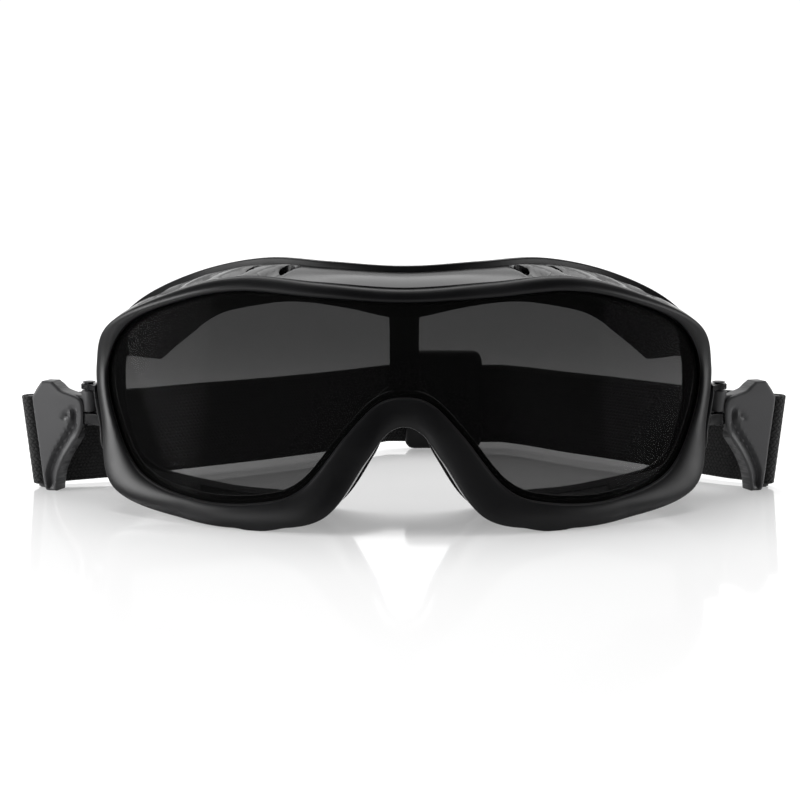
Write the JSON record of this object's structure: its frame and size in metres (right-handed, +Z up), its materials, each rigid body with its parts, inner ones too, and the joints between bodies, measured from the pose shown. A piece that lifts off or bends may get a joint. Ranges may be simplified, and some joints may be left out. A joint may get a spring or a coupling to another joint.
{
  "type": "motorcycle goggles",
  "caption": "Wrap-around riding goggles with a smoked one-piece lens, vented rim, foam face seal, hinged strap clips and an elastic head strap with a slider.",
  "frame": {"origin": "centre of the bounding box's footprint, on the surface the goggles rest on", "axes": "+X to the wearer's left, +Y from the lens towards the back of the head, +Z up"},
  "size_m": [0.2184, 0.1312, 0.0667],
  "materials": {
    "rim_plastic": "gloss black moulding",
    "housing_plastic": "satin to gloss black moulding",
    "frame_plastic": "satin black moulding",
    "smoked_lens": "dark smoked polycarbonate, polished",
    "gasket_rubber": "matt black",
    "face_foam": "open-cell foam, matt",
    "fleece_lining": "short fleece, matt",
    "vent_foam": "coarse open-cell foam",
    "mount_plastic": "gloss black moulding",
    "pin_steel": "blackened turned steel",
    "clip_plastic": "satin dark grey moulding",
    "strap_webbing": "woven elastic webbing",
    "slider_plastic": "satin black moulding"
  },
  "bodies": {
    "frame": {"front_rim": "rim_plastic", "housing": "housing_plastic", "lens": "smoked_lens", "lens_gasket": "gasket_rubber", "rear_frame": "frame_plastic", "face_foam": "face_foam", "foam_lining": "fleece_lining", "vent_foam_top_left": "vent_foam", "vent_foam_top_right": "vent_foam", "vent_foam_bottom_left": "vent_foam", "vent_foam_bottom_right": "vent_foam", "left_hinge_mount": "mount_plastic", "right_hinge_mount": "mount_plastic", "left_hinge_pin": "pin_steel", "right_hinge_pin": "pin_steel", "strap_left": "strap_webbing", "strap_right": "strap_webbing"},
    "left_outrigger": {"left_outrigger": "clip_plastic"},
    "right_outrigger": {"right_outrigger": "clip_plastic"},
    "slider": {"strap_slider": "slider_plastic"}
  },
  "joints": [
    {"name": "left_clip_hinge", "type": "hinge", "parent": "frame", "child": "left_outrigger", "pos_m": [-0.0882, -0.01078, 0.0259], "axis": [0, 0, 1], "range_deg": [-20, 25], "deforming": ["strap_left"]},
    {"name": "right_clip_hinge", "type": "hinge", "parent": "frame", "child": "right_outrigger", "pos_m": [0.0882, -0.01078, 0.0259], "axis": [0, 0, -1], "range_deg": [-20, 25], "deforming": ["strap_right"]},
    {"name": "slider_slide", "type": "slide", "parent": "frame", "child": "slider", "axis": [1, 0, 0], "range_m": [-0.005, 0.005]}
  ]
}
